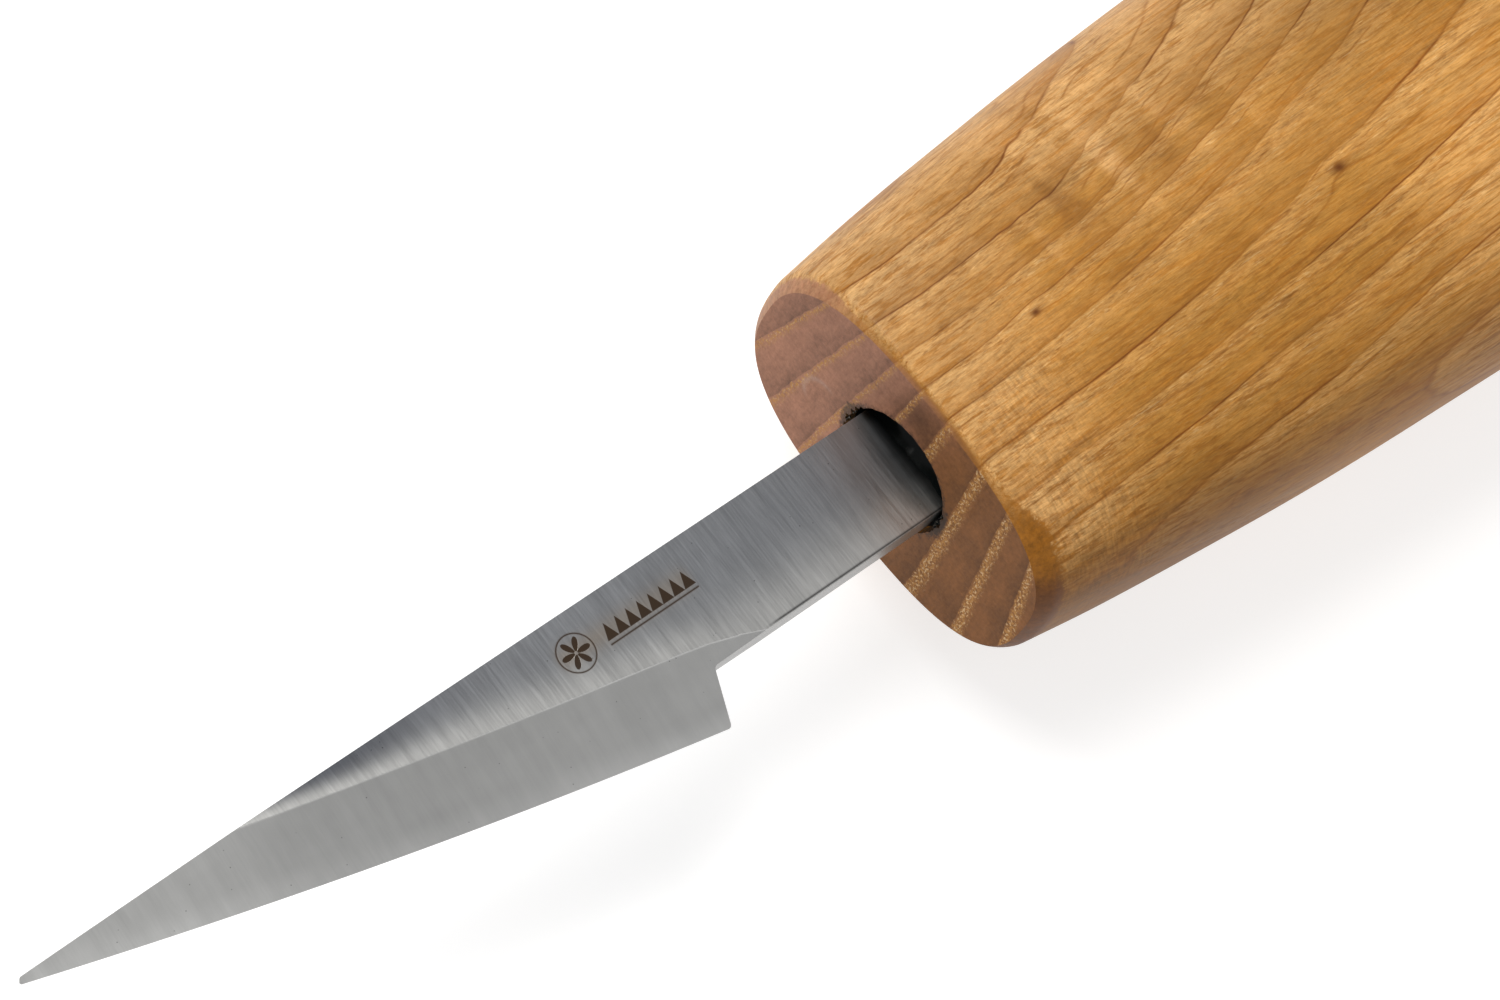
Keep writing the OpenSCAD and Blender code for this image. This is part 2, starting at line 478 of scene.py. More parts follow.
def side_grain(g, wood, log):
    """Colour of the wood where it is cut along the grain."""
    place, x, y, z = log.place, log.x, log.y, log.z
    early, shoulder, curl = log.early, log.shoulder, log.curl
    seam = g.bell(g.math("PINGPONG", log.years, 0.5), 0.0, 0.019)
    strength = g.ramp(g.clouds(place, (0.07, 0.5, 0.5), 3.0), 0.36, 0.62, 0.12, 1.0)
    mottle = g.ramp(g.clouds(place, (1.7, 6.0, 6.0), 3.0, 0.8), 0.50, 0.60)
    long_pore = g.ramp(g.cells(place, (0.30, 4.6, 4.6)), 0.12, 0.28, 1.0, 0.0)
    fibre = g.ramp(g.clouds(place, (0.22, 3.4, 3.4), 4.0, 0.65), 0.50, 0.64)
    streak = g.ramp(g.clouds(place, (0.28, 4.2, 4.2), 3.0, 0.6), 0.52, 0.60)
    # Pale flecks along the grain are painted highlights, where open pores catch the light.
    pore_glint = g.ramp(g.clouds(place, (0.9, 7.5, 7.5), 2.0), 0.60, 0.70)
    ticks = g.clouds(place, (6.0, 1.6, 1.6), 3.0, 0.6) - 0.5
    tick_patch = g.ramp(g.clouds(place, (0.12, 0.2, 0.2), 1.0), 0.42, 0.6)
    tick_patch = tick_patch * 0.35 + g.bell(x, -3.0, 4.0) * g.ramp(y, -1.0, 1.0)
    blotch = g.clouds(place, (0.05, 0.12, 0.12), 3.0) - 0.5

    # Fainter threads between the rings.
    wander = 0.9 * g.clouds(place, (0.06, 0.3, 0.3), 2.0)
    strand = g.math("PINGPONG", log.years * 2.5 + wander, 0.5)
    broken = g.ramp(g.clouds(place, (0.07, 1.1, 1.1), 2.0), 0.46, 0.58)
    thread = g.bell(strand, 0.0, 0.05) * broken

    # Paler at the front and far back. The flank below the cutting edge is darker and browner with
    # painted shade, as it turns away from the light.
    far_side = g.ramp(x, -24.0, -35.0) * g.ramp(y, -3.0, 4.0)
    pale = 0.10 + 0.9 * blotch + 0.62 * g.ramp(x, -9.0, -1.5) + 0.4 * far_side
    # Painted sheen makes the spine side paler, where its shoulder catches the light.
    pale = pale + 0.6 * g.ramp(y, -4.0, -9.0)
    under = g.ramp(z - 0.3 * y + 3.0 * blotch, 5.0, -1.0) * g.ramp(y, -2.0, 6.0)
    near_front = g.ramp(x, -22.0, -10.0)
    # The rust-coloured streaks grow stronger in that painted shade.
    rust = 0.22 + 0.22 * g.ramp(y, 0.0, 5.0) + 0.3 * under

    side = g.mix(pale * (1.0 - under), colour(wood.honey), colour(wood.cream))
    for amount, tone in (
        (shoulder * g.ramp(curl, 0.02, 0.14), colour(wood.cream)),
        (shoulder * g.ramp(curl, -0.02, -0.16), colour(wood.amber)),
        (log.late * 0.6, colour(wood.amber)),
        (early * 0.25, colour(wood.cream)),
        (fibre * (0.45 + 0.25 * pale), colour(wood.fibre)),
        (thread * 0.6, THREAD_TONE),
        (streak * rust, RUST_TONE),
        (mottle * 0.30, colour(wood.fibre)),
        (log.dash * (0.06 + 0.28 * early), colour(wood.pore)),
        (long_pore * 0.32 * early, colour(wood.pore)),
        # Painted highlights of pores catching the light.
        (pore_glint * (0.08 + 0.22 * early), PORE_GLINT_TONE),
        (seam * strength, SEAM_TONE),
        # Painted shade browns the flank below the cutting edge.
        (under * (0.35 + 0.3 * near_front), colour(wood.amber)),
    ):
        side = g.mix(amount, side, tone)

    light = 1.07 + 0.8 * log.grain + 1.1 * log.hair
    figure = curl * (0.12 + 0.9 * shoulder) + 0.3 * blotch + 0.9 * ticks * tick_patch
    light = light * (1.0 + figure)
    # Painted shade darkens the flank below the cutting edge, most near the front.
    light = light * (1.0 - under * (0.12 + 0.26 * near_front))
    # Painted shade makes the spine side darker.
    light = light * (1.0 - 0.17 * g.ramp(y, -1.0, -8.0))
    light = light * (1.0 + 0.30 * far_side * (1.0 - under))
    # Painted shade darkens the far back on the spine side.
    light = light * (1.0 - 0.20 * g.ramp(x, -24.0, -34.0) * g.ramp(y, -1.0, -6.0))
    return g.mix(log.knots, g.scale(side, light), KNOT_TONE)


def end_grain(g, wood, log):
    """Colour of the cut ends, which drink more oil and go dark between pale bands of pores."""
    place, y, z, dots = log.place, log.y, log.z, log.dots
    # The end grain turns from mauve towards the spine to umber towards the cutting edge; the paler
    # mauve side is partly painted sheen.
    across = g.ramp(y + 5.0 * (g.clouds(place, (0.2, 0.2, 0.2)) - 0.5), -5.0, 3.5)
    end = g.mix(across, colour(wood.mauve), colour(wood.umber))
    stains = g.clouds(place, (0.6, 0.6, 0.6), 3.0, 0.6) - 0.5
    rays = g.clouds(place, (1.0, 6.0, 0.6), 2.0) - 0.5
    scratches = g.ramp(g.clouds(place, (1.0, 2.0, 14.0), 2.0), 0.64, 0.72)
    patch = g.bell(y, -0.6, 1.1) * g.bell(z, 5.2, 1.3)
    light = 1.05 + dots + 0.3 * rays + 0.8 * stains - 0.3 * log.late
    end = g.scale(end, light * (1.0 - 0.5 * patch) * (1.0 + 0.2 * scratches))

    speckle = g.ramp(g.clouds(place, (1.0, 5.0, 5.0), 2.0, 0.7), 0.44, 0.56)
    chaff = g.ramp(g.clouds(place, (1.0, 6.5, 4.0), 1.0, 0.7), 0.56, 0.62)
    ragged = log.year + 0.26 * (g.clouds(place, (1.0, 2.6, 2.6), 4.0, 0.75) - 0.5)
    broad = 0.11 + 0.09 * across
    band = g.ramp(ragged, 0.0, 0.06) * g.ramp(ragged - broad, -0.07, 0.12, 1.0, 0.0)
    end = g.mix(band * (0.15 + 0.75 * speckle), end, colour(wood.pore_band))
    end = g.mix(band * chaff * (0.35 + 0.4 * across), end, CHAFF_TONE)

    # Glue smeared and wiped off beside the blade.
    arc = g.vector("LENGTH", g.combine(0.0, y + 5.2, z + 1.2), output="Value")
    smear = g.bell(arc, 1.2, 0.16) * g.ramp(y - 0.5 * z, -5.6, -4.6, 1.0, 0.0)
    return g.mix(smear * (0.3 + 0.8 * dots), end, SMEAR_TONE)


def oiled_rim(g, wood, log):
    """Colour of the broken front edge, and how much of it shows."""
    x, y, z, dots = log.x, log.y, log.z, log.dots
    reach = 0.24 + 1.1 * g.ramp(y, 4.5, 8.0) + 0.3 * g.ramp(y, -6.0, -9.0)
    rim = g.ramp(-x / (reach * (1.0 + 1.2 * dots)), 0.8, 1.15, 1.0, 0.0) * g.ramp(x, -4.0, -3.0)
    # Painted shade makes the rim darker below.
    low = g.ramp(z - 0.4 * y, 1.6, -0.6)
    tone = g.mix(low, colour(wood.rim), colour(wood.rim_in_shade))
    # Painted sheen turns the rim pale mauve on the spine side.
    tone = g.mix(g.ramp(y, -4.0, -9.0), tone, SPINE_RIM_SHEEN_TONE)
    tone = g.scale(tone, 1.0 + 1.6 * dots + 0.8 * log.grain)
    soaked = 0.35 + 0.6 * g.ramp(y, 4.0, 7.0) + 0.4 * g.ramp(y, -5.0, -8.0)
    return tone, rim * soaked


def wood_material(wood):
    """Ring-porous hardwood whose rings run through the solid, so faces and ends agree."""
    material, g, shader = new_material("oiled_hardwood")
    log = Timber(g, wood.ring_width)
    x, y, z, dots = log.x, log.y, log.z, log.dots

    # The front face is all end grain, and the round butt turns into it gradually.
    facing = g.node("ShaderNodeAttribute", {"attribute_name": END_FACING}, output="Fac")
    front = g.ramp(x, -60.0, -50.0)
    ends = g.ramp(facing, 0.80, 0.96) * front + g.ramp(facing, 0.5, 1.0) * (1.0 - front) * 0.55
    rim_tone, rim = oiled_rim(g, wood, log)
    surface = g.mix(rim, side_grain(g, wood, log), rim_tone)
    border = ends * (1.0 - ends) * front
    surface = g.mix(border * 2.4, surface, colour(wood.rim))
    surface = g.mix(ends, surface, end_grain(g, wood, log))

    # Glue has stained the wood round the mouth of the bore, and painted shade darkens the bore's
    # wall inside it.
    from_axis = g.vector("LENGTH", g.combine(0.0, y, z), output="Value")
    corner = g.bell(abs(y), 3.6, 0.7) * g.bell(z, 0.2, 1.4)
    glue_stain_and_shade = g.ramp(from_axis + 1.4 * dots - 0.5 * corner, 3.35, 3.75, 1.0, 0.0)
    glue_stain_and_shade = glue_stain_and_shade * g.ramp(x, -9.0, -8.0)
    surface = g.mix(glue_stain_and_shade * 0.75, surface, GLUE_STAIN_AND_SHADE_TONE)

    pores = log.dash * log.early
    height = log.grain * 0.5 + log.hair * 0.3 - pores * 0.5 + dots * ends * 0.8
    rough = 0.47 + 0.16 * log.grain + 0.10 * pores + 0.08 * ends
    feed(
        g, shader, Base_Color=surface, Roughness=rough,
        Normal=relief(g, height, depth=0.010), IOR=1.47, Specular_IOR_Level=0.16,
    )
    return material


def cad_stations(node):
    """A node's cross-sections: distance from the front, and reach to the spine, edge and top."""
    stations = {}
    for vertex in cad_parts[node].data.vertices:
        x, y, z = vertex.co
        behind = round(-x / MM, 2)
        spine, edge, thick = stations.get(behind, (0.0, 0.0, 0.0))
        stations[behind] = (max(spine, -y), max(edge, y), max(thick, z))
    return [(s * MM, *sizes) for s, sizes in sorted(stations.items())]


def width_curves(g, wood, length, along):
    """Reach to the spine, edge and top along the handle, each with its value at the front."""
    full = max(HANDLE_BOX[1].y, -HANDLE_BOX[0].y)
    butt_start = length - wood.butt_length

    # The bore's own vertices are told from the skin's by their small reach.
    rows = [
        row for row in cad_stations("handle")
        if wood.rim_depth * 0.9 < row[0] < butt_start * 1.001 and row[1] > 0.7 * full
    ]
    first, second, before, last = rows[0], rows[1], rows[-4], rows[-1]
    widths = []
    for k in (1, 2, 3):
        opening = (second[k] - first[k]) / (second[0] - first[0])
        nose = first[k] - opening * first[0]
        slope = (last[k] - before[k]) / (last[0] - before[0])
        tail = last[k] + slope * (length - last[0])
        points = [(row[0] / length, row[k] / full) for row in rows[::2]]
        points = [(0.0, nose / full), *points, (1.0, tail / full)]
        curve = g.node("ShaderNodeFloatCurve", {"curve": points}, {"Value": along})
        widths.append((curve * full, nose))
    return widths


def handle_form(wood, material):
    """The handle's skin: superellipse sections along three width curves."""
    length = -HANDLE_BOX[0].x
    g = FormTree("HandleForm", {
        "Rings": ("Int", wood.rings),
        "Sides": ("Int", wood.sides),
        "Length": ("Float", length),
        "Rim Depth": ("Float", wood.rim_depth),
        "Butt Length": ("Float", wood.butt_length),
        "Front Squareness": ("Float", wood.front_squareness),
        "Butt Squareness": ("Float", wood.butt_squareness),
        "Hand Sanding": ("Float", wood.hand_sanding),
    })
    grid = g.node(
        "GeometryNodeMeshGrid",
        inputs={"Size X": 1.0, "Size Y": 1.0, "Vertices X": g.given("Rings"),
                "Vertices Y": g.given("Sides") + 1.0},
    )
    u, v, _ = g.split(g.node("GeometryNodeInputPosition"))
    along = (1.0 - g.math("COSINE", (u + 0.5) * math.pi)) * 0.5
    distance = along * g.given("Length")
    angle = (v + 0.5) * (2 * math.pi)
    cosine = g.math("COSINE", angle)
    sine = g.math("SINE", angle)

    # The broken edge round the front: crisp at the face and easing into the side.
    rim_depth = g.given("Rim Depth") * (1.0 - 0.65 * sine * sine)
    rim = g.math("MAXIMUM", 1.0 - distance / rim_depth, 0.0)
    rim = rim * 0.4 + rim * rim * 0.6
    half_face = (wood.face_width / 2, wood.face_width / 2, wood.face_thickness / 2)
    spine_w, edge_w, thick = [
        width - rim * (nose - half)
        for (width, nose), half in zip(width_curves(g, wood, length, along), half_face)
    ]

    # The rounded butt.
    butt_round = 2.4
    to_end = (g.given("Length") - distance) / g.given("Butt Length")
    into_butt = g.math("MAXIMUM", 1.0 - to_end, 0.0)
    close = g.math("MAXIMUM", 1.0 - into_butt**butt_round, 0.0) ** (1 / butt_round)

    towards_edge = g.math("GREATER_THAN", cosine, 0.0)
    wide = spine_w + (edge_w - spine_w) * towards_edge
    front_square = g.given("Front Squareness")
    square = front_square + (g.given("Butt Squareness") - front_square) * along
    reach = (abs(cosine) / wide) ** square + (abs(sine) / thick) ** square
    reach = reach ** (-1.0 / square)
    spot = g.combine(-distance, reach * cosine, reach * sine)
    sanding = g.given("Hand Sanding")
    uneven = g.clouds(spot, (55.0, 140.0, 140.0), 1.0) - 0.5
    uneven = uneven * sanding * g.ramp(distance, 0.0, 4 * MM)
    reach = (reach + uneven * 2.0 - sanding * 0.6) * close
    moved = g.node(
        "GeometryNodeSetPosition",
        inputs={"Geometry": grid, "Position": g.combine(-distance, reach * cosine, reach * sine)},
    )
    same_place = 1e-7
    joined = g.node(
        "GeometryNodeMergeByDistance", inputs={"Geometry": moved, "Distance": same_place}
    )
    g.finish(g.node("GeometryNodeRealizeInstances", inputs={"Geometry": joined}), material)
    return g


def add_ring(work, angles, xs, reaches):
    """New vertices round the axis, one at each angle."""
    return [
        work.verts.new((x, reach * math.cos(a), reach * math.sin(a)))
        for a, x, reach in zip(angles, xs, reaches)
    ]


def join_rings(work, rings):
    """Four-sided faces between each ring of vertices and the next."""
    count = len(rings[0])
    for outer, inner in zip(rings, rings[1:]):
        for i in range(count):
            j = (i + 1) % count
            work.faces.new((outer[i], outer[j], inner[j], inner[i]))


def close_ring(work, ring, x):
    """A fan of faces from a ring to a point on the axis."""
    point = work.verts.new((x, 0.0, 0.0))
    for i, vertex in enumerate(ring):
        work.faces.new((vertex, ring[(i + 1) % len(ring)], point))


def write_mesh(work, mesh):
    """Turns all faces outwards and puts the finished form into mesh."""
    bmesh.ops.recalc_face_normals(work, faces=work.faces[:])
    work.to_mesh(mesh)
    work.free()


def tearing(angle):
    """How torn the bore's mouth is at an angle: most at the two corners of the neck."""
    rough = noise.noise(Vector((math.cos(angle) * 5, math.sin(angle) * 5, 3.1)))
    fine = noise.noise(Vector((math.cos(angle) * 16, math.sin(angle) * 16, 7.7)))
    spine_corner = math.exp(-(((math.pi - abs(angle)) / 0.42) ** 2))
    edge_corner = 0.8 * math.exp(-((angle / 0.3) ** 2))
    ragged = max(0.0, 0.25 + 0.8 * rough + 0.5 * fine)
    return ragged * (0.3 + 1.6 * (spine_corner + edge_corner))


def drill_handle(mesh, bore_radius):
    """Closes the open front with a flat face, a slightly torn rim and the drilled bore."""
    face_rings = 22
    crowding = 0.8
    deepest_tear = 0.28 * MM
    # Depths down the bore's wall in millimetres, each with the share of the tearing left there.
    wall = [(0.16, 0.75), (0.35, 0.4), (0.7, 0.12), (1.2, 0.0), (6.0, 0.0), (BORE_DEPTH / MM, 0.0)]

    work = bmesh.new()
    work.from_mesh(mesh)
    rim = [v for v in work.verts if v.is_boundary]
    rim.sort(key=lambda v: math.atan2(v.co.z, v.co.y))
    angles = [math.atan2(v.co.z, v.co.y) for v in rim]
    outer = [math.hypot(v.co.y, v.co.z) for v in rim]
    torn = [deepest_tear * tearing(a) for a in angles]
    inner = [bore_radius + worn for worn in torn]
    rings = [rim]
    for k in range(1, face_rings + 1):
        t = (k / face_rings) ** crowding
        reaches = [far + (near - far) * t for far, near in zip(outer, inner)]
        rings.append(add_ring(work, angles, [0.0] * len(rim), reaches))
    for deep, share in wall:
        reaches = [bore_radius + worn * share for worn in torn]
        rings.append(add_ring(work, angles, [-deep * MM] * len(rim), reaches))
    join_rings(work, rings)
    close_ring(work, rings[-1], -BORE_DEPTH - bore_radius / math.tan(DRILL_HALF_ANGLE))
    write_mesh(work, mesh)


def finish_mesh(obj, sharp_degrees):
    """Smooth shading, with creases where faces meet at more than sharp_degrees."""
    obj.data.polygons.foreach_set("use_smooth", [True] * len(obj.data.polygons))
    obj.data.set_sharp_from_angle(angle=math.radians(sharp_degrees))
    obj.data.update()


def mark_ends(mesh):
    """Stores at each corner how squarely the wood faces along the handle."""
    facing = mesh.attributes.new(END_FACING, "FLOAT", "CORNER")
    facing.data.foreach_set("value", [abs(n.vector.x) for n in mesh.corner_normals])


def place_piece(obj, material, slot, *replaced):
    """Gives a finished piece its material and its body, and hides the nodes it stands for; slot is
    not used.
    """
    obj.data.materials.clear()
    obj.data.materials.append(material)
    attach(obj, "root")
    if replaced:
        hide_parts(*replaced)


class KNIFE_OT_handle(bpy.types.Operator):
    """Builds the wooden handle with its drilled bore"""

    bl_idname = "knife.handle"
    bl_label = "Build Handle"

    def execute(self, context):
        wood = context.scene.knife_wood
        material = wood_material(wood)
        values = {"Rings": wood.rings, "Sides": wood.sides, "Length": -HANDLE_BOX[0].x}
        handle = handle_form(wood, material).run("wood_handle", values)
        drill_handle(handle.data, bore_radius=GLUE_BOX[1].y)
        finish_mesh(handle, sharp_degrees=24)
        mark_ends(handle.data)
        place_piece(handle, material, "wood", "handle")
        return {"FINISHED"}


# ---------------------------------------------------------------- steel


# Lines on the blade in millimetres: start, end, and how far the line bows out between them.
BEVEL_LINE = ((14.75, 1.95), (39.0, -NECK_HALF), 0.12)
CUTTING_EDGE = ((15.67, 5.9), (51.1, -2.82), 0.44)

# Long corners to be broken: distance from the centre line, and first and last place along it.
SPINE_CORNER = (-NECK_HALF * MM, -13 * MM, 51 * MM)
UNDER_CORNER = (NECK_HALF * MM, -13 * MM, 14.6 * MM)

# Painted reflection: the dark far end of the spine.
FAR_SPINE_DARK_REFLECTION_TONE = (0.105, 0.112, 0.13, 1.0)
# Painted shade of the bore, with some glue tint, on the neck.
NECK_SHADE_AND_GLUE_TONE = (0.012, 0.017, 0.016, 1.0)
SCORCH_TONE = (0.36, 0.27, 0.17, 1.0)


def bowed(x, start, end, bow):
    """Distance from the centre line, at x, of a line that bows out between its ends."""
    along = (x - start[0]) / (end[0] - start[0])
    return start[1] + (end[1] - start[1]) * along + 4 * bow * along * (1.0 - along)


def teeth(g, x, y, start, end, pitch, top, bottom):
    """A row of small solid triangles that point to the spine, with a line under them."""
    step = g.math("PINGPONG", (x - start) / pitch, 0.5) * 2.0
    rise = (y - top) / (bottom - top)
    inside = g.ramp(rise - (1.0 - step), -0.04, 0.08) * g.ramp(rise, 1.0, 1.06, 1.0, 0.0)
    line = g.bell(rise, 1.26, 0.07)
    span = g.ramp(x, start - 0.03, start + 0.03) * g.ramp(x, end - 0.03, end + 0.03, 1.0, 0.0)
    return g.math("MAXIMUM", inside, line) * span


def rosette(g, x, y, centre, radius):
    """A six-petalled compass rosette in a ring."""
    across = x - centre[0]
    down = y - centre[1]
    reach = g.math("SQRT", across * across + down * down)
    turn = g.math("ARCTAN2", down, across)
    petal = radius * 0.86 * abs(g.math("COSINE", turn * 3.0))
    petals = g.ramp(petal - reach, -0.02, 0.05) * g.ramp(reach, 0.06, 0.12)
    ring = g.bell(reach, radius, 0.055)
    return g.math("MAXIMUM", petals, ring)


def ornament(g, x, y):
    """How far the ornament is etched into the flat, and the faint scorched field round it."""
    row = teeth(g, x, y, start=12.9, end=18.5, pitch=0.7, top=-1.62, bottom=-0.72)
    etched = g.math("MAXIMUM", row, rosette(g, x, y, centre=(20.2, -1.1), radius=1.0))
    scorched = g.bell(y, -1.15, 0.62) * g.ramp(x, 12.6, 13.4) * g.ramp(x, 20.8, 21.6, 1.0, 0.0)
    return etched, scorched


def steel_material(steel):
    """Cross-ground carbon steel with brighter bevels, painted reflections that darken the spine,
    and an etched ornament.
    """
    material, g, shader = new_material("ground_steel")
    place, x, y, z = millimetres(g)
    flat = g.ramp(abs(z), 0.975, 0.998)

    # The bevel's upper line runs out under the neck behind the heel.
    line = bowed(x, *BEVEL_LINE)
    line = line + (NECK_HALF - line) * g.ramp(x, 11.4, 16.0, 1.0, 0.0)
    above = g.math("MAXIMUM", line - y, 0.0)

    hair = g.clouds(place, (11.0, 0.45, 0.45), 5.0, 0.65) - 0.5
    broad = g.clouds(place, (1.1, 0.16, 0.16), 3.0, 0.6) - 0.5
    cloud = g.clouds(place, (0.25, 0.5, 0.5), 2.0) - 0.5
    pits = g.ramp(g.cells(place, (1.6, 1.6, 1.6)), 0.03, 0.07, 1.0, 0.0)

    # Painted reflection: the flats are bright just above the bevel and darken towards the spine
    # and the tip.
    glow = g.ramp(x, 11.0, 17.0, 2.0, 1.3) - g.ramp(x, 24.0, 35.0, 0.0, 0.75)
    spine = g.mix(g.ramp(x, 21.0, 36.0), colour(steel.dark_spine_reflection), FAR_SPINE_DARK_REFLECTION_TONE)
    painted_flat_reflections = g.mix(g.bell(above, 0.0, glow), spine, colour(steel.bright))
    bevels = g.mix(g.ramp(x, 33.0, 46.0), colour(steel.ground), colour(steel.bright))
    bevels = g.scale(bevels, g.ramp(bowed(x, *CUTTING_EDGE) - y, 0.0, 1.3, 1.16, 1.0))
    tone = g.mix(flat, bevels, painted_flat_reflections)
    streaks = 1.0 + hair * (0.16 + 0.30 * flat) + broad * (0.30 - 0.23 * flat) + 0.2 * cloud
    tone = g.scale(tone, streaks)

    # Painted shade, with some glue tint, darkens the neck where it enters the handle.
    glue_stain_and_shade = g.ramp(x + 1.2 * cloud, -0.9, 0.4, 1.0, 0.0)
    tone = g.mix(glue_stain_and_shade * 0.85, tone, NECK_SHADE_AND_GLUE_TONE)

    # The ornament and a thin dark line under the neck are on the upper flat only.
    upper = g.ramp(z, 0.5, 0.9)
    etched, scorched = ornament(g, x, y)
    etched = etched * upper
    tone = g.mix(scorched * upper * 0.35, tone, SCORCH_TONE)
    tone = g.mix(etched * 0.95, tone, colour(steel.etch))
    under_line = g.bell(y, 3.02, 0.06) * upper * g.ramp(x, 10.4, 11.6, 1.0, 0.0)
    tone = g.scale(tone, (1.0 - 0.5 * pits) * (1.0 - 0.75 * under_line))

    rough = 0.34 + 0.16 * hair + 0.10 * broad + 0.25 * etched + 0.05 * (1.0 - flat)
    height = hair * 0.6 + broad * 0.3 - etched * 0.5
    feed(
        g, shader, Base_Color=tone, Metallic=1.0, Roughness=rough,
        Normal=relief(g, height, depth=0.004),
    )
    return material


def on_line(vertices, y, low, high):
    """True if all the vertices lie between low and high on one of the long corners at y."""
    slack = 0.02 * MM
    clear_of_middle = 0.05 * MM
    return all(
        abs(v.co.y - y) < slack and low < v.co.x < high and abs(v.co.z) > clear_of_middle
        for v in vertices
    )


class KNIFE_OT_blade(bpy.types.Operator):
    """Builds the steel blade with its broken corners"""

    bl_idname = "knife.blade"
    bl_label = "Build Blade"

    def execute(self, context):
        steel = context.scene.knife_steel
        same_place = 0.002 * MM
        sliver = 0.0012 * MM
        flat_enough = math.radians(0.15)
        sharp = math.radians(30)

        work = bmesh.new()
        work.from_mesh(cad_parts["blade"].data)
        bmesh.ops.remove_doubles(work, verts=work.verts[:], dist=same_place)
        bmesh.ops.dissolve_limit(
            work, angle_limit=flat_enough, verts=work.verts[:], edges=work.edges[:]
        )
        corners = []
        for edge in work.edges:
            folded = len(edge.link_faces) == 2 and edge.calc_face_angle() > sharp
            long = on_line(edge.verts, *SPINE_CORNER) or on_line(edge.verts, *UNDER_CORNER)
            if folded and long:
                corners.append(edge)
        bmesh.ops.bevel(
            work, geom=corners, offset=steel.arris, segments=2, profile=0.5, affect="EDGES",
            clamp_overlap=True,
        )
        bmesh.ops.dissolve_degenerate(work, dist=sliver, edges=work.edges[:])
        mesh = bpy.data.meshes.new("steel_blade")
        write_mesh(work, mesh)
        blade = add_object("steel_blade", mesh)
        finish_mesh(blade, sharp_degrees=4)
        place_piece(blade, steel_material(steel), "steel", "blade")
        return {"FINISHED"}


# ---------------------------------------------------------------- glue


GLUE_DUST_TONE = (0.17, 0.155, 0.135, 1.0)

# Heaps of crumbs: name, centre, spread and size of the largest in millimetres, and random seed.
CRUMB_HEAPS = [
    ("crumbs_spine", (-0.12, -3.62, 0.1), (0.1, 0.22, 0.75), 0.14, 3),
    ("crumbs_edge", (-0.15, 3.42, 0.2), (0.1, 0.12, 0.7), 0.10, 8),
]


def glue_material(glue):
    """Dark cured epoxy, glossy in the hollow and dusty where it has been sanded."""
    material, g, shader = new_material("cured_glue")
    place, x, _, _ = millimetres(g)
    lumps = g.clouds(place, (1.6, 1.6, 1.6), 2.0)
    dust = g.ramp(x, -0.35, -0.15) * g.ramp(g.clouds(place, (6.0, 6.0, 6.0), 3.0), 0.42, 0.6)
    tone = g.mix(dust * 0.8, colour(glue.tint), GLUE_DUST_TONE)
    feed(
        g, shader, Base_Color=tone, Roughness=0.3 + 0.4 * dust,
        Normal=relief(g, lumps, depth=0.02), IOR=1.5, Specular_IOR_Level=0.18,
    )
    return material


def box_reach(angle, high, thick):
    """Distance from the axis to the side of a rectangle, given as its half-sizes."""
    tiny = 1e-6
    return min(high / max(abs(math.cos(angle)), tiny), thick / max(abs(math.sin(angle)), tiny))


def glue_plug(bore_radius, half_height, half_thickness, recess, tang_end):
    """The glue as one closed skin: bore wall, hollow mouth, and the sleeve round the tang."""
    count = 192
    mouth_rings = 16
    sink = 0.004 * MM
    thinnest = 0.01 * MM
    # How high the glue creeps up its walls, over what width, and how lumpy it is, in millimetres.
    creep, creep_width, lump_height = 0.75, 0.22, 0.10

    work = bmesh.new()
    angles = [2 * math.pi * i / count for i in range(count)]
    neck = [box_reach(a, half_height, half_thickness) for a in angles]
    end = [box_reach(a, TANG_END_HALF, half_thickness) for a in angles]
    outer = bore_radius - sink
    rings = [add_ring(work, angles, [-BORE_DEPTH] * count, [outer] * count)]
    for k in range(mouth_rings + 1):
        t = 0.5 - 0.5 * math.cos(math.pi * k / mouth_rings)
        xs, reaches = [], []
        for a, side in zip(angles, neck):
            inner = min(side + sink, outer - thinnest)
            reach = outer + (inner - outer) * t
            near = min(outer - reach, reach - min(side, outer)) / MM
            lump = noise.noise(Vector((math.cos(a), math.sin(a), reach / MM * 0.4)) * 2.3)
            rise = creep * math.exp(-near / creep_width) + lump_height * lump
            xs.append(-recess + MM * rise)
            reaches.append(reach)
        rings.append(add_ring(work, angles, xs, reaches))
    rings.append(add_ring(work, angles, [-TANG_TAPER] * count, neck))
    rings.append(add_ring(work, angles, [-tang_end] * count, end))
    join_rings(work, rings)
    close_ring(work, rings[0], -BORE_DEPTH - bore_radius / math.tan(DRILL_HALF_ANGLE))
    close_ring(work, rings[-1], -tang_end)
    mesh = bpy.data.meshes.new("glue_plug")
    write_mesh(work, mesh)
    return mesh


